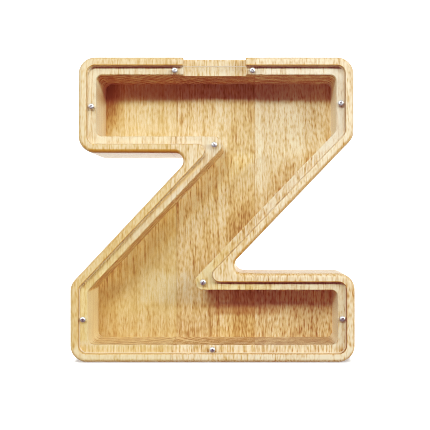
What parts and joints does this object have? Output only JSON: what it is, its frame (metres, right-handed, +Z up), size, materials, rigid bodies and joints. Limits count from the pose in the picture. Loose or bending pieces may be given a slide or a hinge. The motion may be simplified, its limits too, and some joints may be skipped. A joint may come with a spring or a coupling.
{
  "type": "money box",
  "caption": "Upright wooden coin bank in the outline of a capital letter Z, milled hollow, with a coin slot in the top edge and a clear screwed-on front window.",
  "frame": {"origin": "on the table, under the middle of the box's overall width and depth", "axes": "+Z up, front window facing -Y, +X to the right seen from the front"},
  "size_m": [0.2056, 0.05, 0.22],
  "materials": {
    "wood": "sanded light oak, clear satin varnish, upright grain",
    "clear_acrylic": "clear polished acrylic sheet",
    "screw_steel": "bright nickel-plated steel"
  },
  "bodies": {
    "case": {"centre_board": "wood", "upper_left_board": "wood", "lower_left_board": "wood", "upper_right_board": "wood", "lower_right_board": "wood"},
    "window": {"front_window": "clear_acrylic"},
    "slot_left_screw": {"slot_left_screw": "screw_steel"},
    "slot_right_screw": {"slot_right_screw": "screw_steel"},
    "upper_left_screw": {"upper_left_screw": "screw_steel"},
    "upper_right_screw": {"upper_right_screw": "screw_steel"},
    "inner_upper_screw": {"inner_upper_screw": "screw_steel"},
    "inner_lower_screw": {"inner_lower_screw": "screw_steel"},
    "lower_left_screw": {"lower_left_screw": "screw_steel"},
    "lower_right_screw": {"lower_right_screw": "screw_steel"},
    "bottom_screw": {"bottom_screw": "screw_steel"}
  },
  "joints": [
    {"name": "window_lift_off", "type": "slide", "parent": "case", "child": "window", "axis": [0, -1, 0], "range_m": [0, 0.06]},
    {"name": "slot_left_screw_out", "type": "slide", "parent": "window", "child": "slot_left_screw", "axis": [0, -1, 0], "range_m": [0, 0.016]},
    {"name": "slot_right_screw_out", "type": "slide", "parent": "window", "child": "slot_right_screw", "axis": [0, -1, 0], "range_m": [0, 0.016]},
    {"name": "upper_left_screw_out", "type": "slide", "parent": "window", "child": "upper_left_screw", "axis": [0, -1, 0], "range_m": [0, 0.016]},
    {"name": "upper_right_screw_out", "type": "slide", "parent": "window", "child": "upper_right_screw", "axis": [0, -1, 0], "range_m": [0, 0.016]},
    {"name": "inner_upper_screw_out", "type": "slide", "parent": "window", "child": "inner_upper_screw", "axis": [0, -1, 0], "range_m": [0, 0.016]},
    {"name": "inner_lower_screw_out", "type": "slide", "parent": "window", "child": "inner_lower_screw", "axis": [0, -1, 0], "range_m": [0, 0.016]},
    {"name": "lower_left_screw_out", "type": "slide", "parent": "window", "child": "lower_left_screw", "axis": [0, -1, 0], "range_m": [0, 0.016]},
    {"name": "lower_right_screw_out", "type": "slide", "parent": "window", "child": "lower_right_screw", "axis": [0, -1, 0], "range_m": [0, 0.016]},
    {"name": "bottom_screw_out", "type": "slide", "parent": "window", "child": "bottom_screw", "axis": [0, -1, 0], "range_m": [0, 0.016]}
  ]
}
